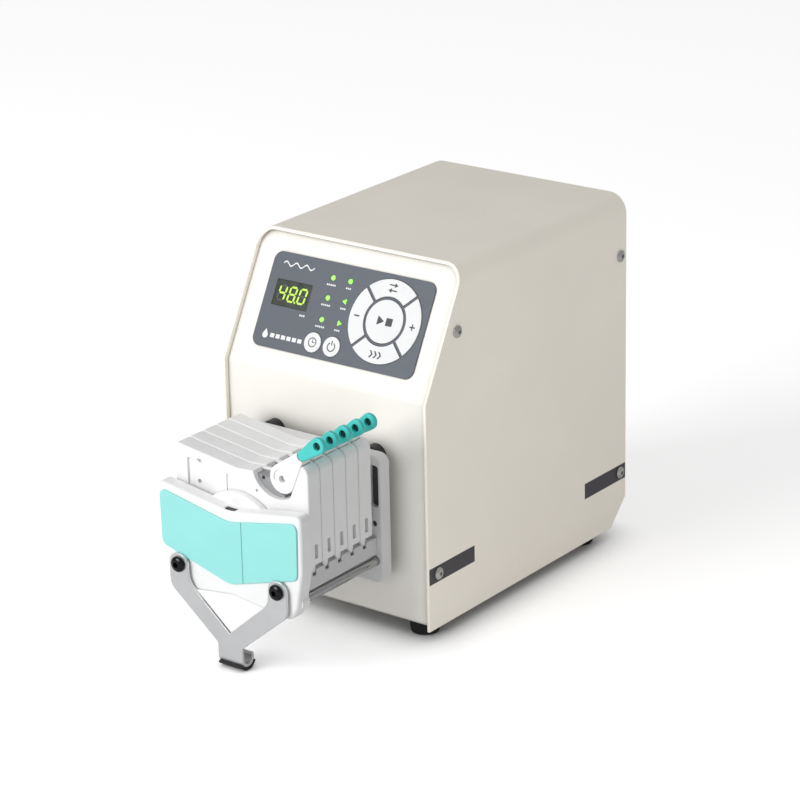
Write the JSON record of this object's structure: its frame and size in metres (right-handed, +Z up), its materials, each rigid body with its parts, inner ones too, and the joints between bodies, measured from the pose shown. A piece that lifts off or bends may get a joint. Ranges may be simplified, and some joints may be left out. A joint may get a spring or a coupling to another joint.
{
  "type": "peristaltic pump",
  "caption": "Bench-top peristaltic pump: a sheet-metal drive with a sloped keypad, and a front pump head with a row of clip-in tube cartridges over a roller rotor.",
  "frame": {"origin": "on the table, under the middle of the bounding box", "axes": "+Z up, -Y towards the pump head and the user, +X to the right seen from the front"},
  "size_m": [0.1622, 0.3182, 0.2335],
  "materials": {
    "cover_paint": "fine-textured powder coat, warm light grey",
    "panel_paint": "smooth warm white powder coat",
    "polished_screw": "bright zinc",
    "rubber": "matt",
    "motor_black": "satin",
    "circuit_board": "satin",
    "black_plastic": "satin",
    "keypad_grey": "fine matt membrane",
    "display_smoke": "gloss",
    "indicator_green": "gloss",
    "key_white": "fine matt membrane",
    "grey_plastic": "satin",
    "white_plastic": "satin, injection moulded",
    "teal_panel": "satin",
    "teal_plastic": "satin",
    "satin_steel": "satin",
    "steel": "polished",
    "black_steel": "black oxide, glossy"
  },
  "bodies": {
    "pump_body": {"top_cover": "cover_paint", "chassis": "panel_paint", "cover_screw_right_front_lower": "polished_screw", "cover_screw_left_front_lower": "polished_screw", "cover_screw_right_front_upper": "polished_screw", "cover_screw_left_front_upper": "polished_screw", "cover_screw_right_rear_lower": "polished_screw", "cover_screw_left_rear_lower": "polished_screw", "cover_screw_right_rear_upper": "polished_screw", "cover_screw_left_rear_upper": "polished_screw", "foot_front_left": "rubber", "foot_front_right": "rubber", "foot_rear_left": "rubber", "foot_rear_right": "rubber", "motor": "motor_black", "power_supply": "circuit_board", "power_inlet": "black_plastic", "keypad_overlay": "keypad_grey", "display_window": "display_smoke", "led_light_guide": "indicator_green", "control_board": "circuit_board", "back_plate": "grey_plastic", "head_mount_left": "black_plastic", "cartridge_rail_left": "white_plastic", "tie_rod_left": "steel", "head_mount_right": "black_plastic", "cartridge_rail_right": "white_plastic", "tie_rod_right": "steel", "front_cover": "white_plastic", "cover_panel": "teal_panel", "support_bracket": "satin_steel", "bracket_foot_pad": "rubber", "bracket_screw_left": "black_steel", "bracket_screw_right": "black_steel"},
    "rotor": {"rotor": "satin_steel", "drive_shaft": "steel"},
    "roller_1": {"roller_1": "steel"},
    "roller_2": {"roller_2": "steel"},
    "roller_3": {"roller_3": "steel"},
    "roller_4": {"roller_4": "steel"},
    "roller_5": {"roller_5": "steel"},
    "roller_6": {"roller_6": "steel"},
    "cartridge_1": {"cartridge_1": "white_plastic"},
    "lever_1": {"occlusion_lever_1": "teal_plastic"},
    "cartridge_2": {"cartridge_2": "white_plastic"},
    "lever_2": {"occlusion_lever_2": "teal_plastic"},
    "cartridge_3": {"cartridge_3": "white_plastic"},
    "lever_3": {"occlusion_lever_3": "teal_plastic"},
    "cartridge_4": {"cartridge_4": "white_plastic"},
    "lever_4": {"occlusion_lever_4": "teal_plastic"},
    "cartridge_5": {"cartridge_5": "white_plastic"},
    "lever_5": {"occlusion_lever_5": "teal_plastic"},
    "key_plus": {"key_plus": "key_white"},
    "key_reverse": {"key_reverse": "key_white"},
    "key_minus": {"key_minus": "key_white"},
    "key_prime": {"key_prime": "key_white"},
    "key_start_stop": {"key_start_stop": "key_white"},
    "key_timer": {"key_timer": "key_white"},
    "key_power": {"key_power": "key_white"},
    "power_switch": {"power_switch": "black_plastic"}
  },
  "joints": [
    {"name": "rotor_spin", "type": "hinge", "parent": "pump_body", "child": "rotor", "pos_m": [0, -0.1103, 0.078], "axis": [0, 1, 0], "continuous": true},
    {"name": "roller_1_spin", "type": "hinge", "parent": "rotor", "child": "roller_1", "pos_m": [0, -0.1103, 0.1005], "axis": [0, 1, 0], "continuous": true},
    {"name": "roller_2_spin", "type": "hinge", "parent": "rotor", "child": "roller_2", "pos_m": [-0.01949, -0.1103, 0.08925], "axis": [0, 1, 0], "continuous": true},
    {"name": "roller_3_spin", "type": "hinge", "parent": "rotor", "child": "roller_3", "pos_m": [-0.01949, -0.1103, 0.06675], "axis": [0, 1, 0], "continuous": true},
    {"name": "roller_4_spin", "type": "hinge", "parent": "rotor", "child": "roller_4", "pos_m": [0, -0.1103, 0.0555], "axis": [0, 1, 0], "continuous": true},
    {"name": "roller_5_spin", "type": "hinge", "parent": "rotor", "child": "roller_5", "pos_m": [0.01949, -0.1103, 0.06675], "axis": [0, 1, 0], "continuous": true},
    {"name": "roller_6_spin", "type": "hinge", "parent": "rotor", "child": "roller_6", "pos_m": [0.01949, -0.1103, 0.08925], "axis": [0, 1, 0], "continuous": true},
    {"name": "cartridge_1_lift", "type": "hinge", "parent": "pump_body", "child": "cartridge_1", "pos_m": [-0.0465, -0.13435, 0.0685], "axis": [0, -1, 0], "range_deg": [0, 60]},
    {"name": "cartridge_2_lift", "type": "hinge", "parent": "pump_body", "child": "cartridge_2", "pos_m": [-0.0465, -0.12215, 0.0685], "axis": [0, -1, 0], "range_deg": [0, 60]},
    {"name": "cartridge_3_lift", "type": "hinge", "parent": "pump_body", "child": "cartridge_3", "pos_m": [-0.0465, -0.10995, 0.0685], "axis": [0, -1, 0], "range_deg": [0, 60]},
    {"name": "cartridge_4_lift", "type": "hinge", "parent": "pump_body", "child": "cartridge_4", "pos_m": [-0.0465, -0.09775, 0.0685], "axis": [0, -1, 0], "range_deg": [0, 60]},
    {"name": "cartridge_5_lift", "type": "hinge", "parent": "pump_body", "child": "cartridge_5", "pos_m": [-0.0465, -0.08555, 0.0685], "axis": [0, -1, 0], "range_deg": [0, 60]},
    {"name": "lever_1_turn", "type": "hinge", "parent": "cartridge_1", "child": "lever_1", "pos_m": [0.032, -0.13435, 0.1253], "axis": [0, -1, 0], "range_deg": [0, 65]},
    {"name": "lever_2_turn", "type": "hinge", "parent": "cartridge_2", "child": "lever_2", "pos_m": [0.032, -0.12215, 0.1253], "axis": [0, -1, 0], "range_deg": [0, 65]},
    {"name": "lever_3_turn", "type": "hinge", "parent": "cartridge_3", "child": "lever_3", "pos_m": [0.032, -0.10995, 0.1253], "axis": [0, -1, 0], "range_deg": [0, 65]},
    {"name": "lever_4_turn", "type": "hinge", "parent": "cartridge_4", "child": "lever_4", "pos_m": [0.032, -0.09775, 0.1253], "axis": [0, -1, 0], "range_deg": [0, 65]},
    {"name": "lever_5_turn", "type": "hinge", "parent": "cartridge_5", "child": "lever_5", "pos_m": [0.032, -0.08555, 0.1253], "axis": [0, -1, 0], "range_deg": [0, 65]},
    {"name": "key_plus_press", "type": "slide", "parent": "pump_body", "child": "key_plus", "axis": [0, 0.8792, -0.4765], "range_m": [0, 0.0006], "stiffness_N_per_m": 2000},
    {"name": "key_reverse_press", "type": "slide", "parent": "pump_body", "child": "key_reverse", "axis": [0, 0.8792, -0.4765], "range_m": [0, 0.0006], "stiffness_N_per_m": 2000},
    {"name": "key_minus_press", "type": "slide", "parent": "pump_body", "child": "key_minus", "axis": [0, 0.8792, -0.4765], "range_m": [0, 0.0006], "stiffness_N_per_m": 2000},
    {"name": "key_prime_press", "type": "slide", "parent": "pump_body", "child": "key_prime", "axis": [0, 0.8792, -0.4765], "range_m": [0, 0.0006], "stiffness_N_per_m": 2000},
    {"name": "key_start_stop_press", "type": "slide", "parent": "pump_body", "child": "key_start_stop", "axis": [0, 0.8792, -0.4765], "range_m": [0, 0.0006], "stiffness_N_per_m": 2000},
    {"name": "key_timer_press", "type": "slide", "parent": "pump_body", "child": "key_timer", "axis": [0, 0.8792, -0.4765], "range_m": [0, 0.0006], "stiffness_N_per_m": 2000},
    {"name": "key_power_press", "type": "slide", "parent": "pump_body", "child": "key_power", "axis": [0, 0.8792, -0.4765], "range_m": [0, 0.0006], "stiffness_N_per_m": 2000},
    {"name": "power_switch_rock", "type": "hinge", "parent": "pump_body", "child": "power_switch", "pos_m": [-0.038, 0.154, 0.068], "axis": [-1, 0, 0], "range_deg": [0, 16]}
  ],
  "couplings": [
    {"joint": "roller_1_spin", "follows": "rotor_spin", "ratio": -5.0909},
    {"joint": "roller_2_spin", "follows": "rotor_spin", "ratio": -5.0909},
    {"joint": "roller_3_spin", "follows": "rotor_spin", "ratio": -5.0909},
    {"joint": "roller_4_spin", "follows": "rotor_spin", "ratio": -5.0909},
    {"joint": "roller_5_spin", "follows": "rotor_spin", "ratio": -5.0909},
    {"joint": "roller_6_spin", "follows": "rotor_spin", "ratio": -5.0909}
  ]
}
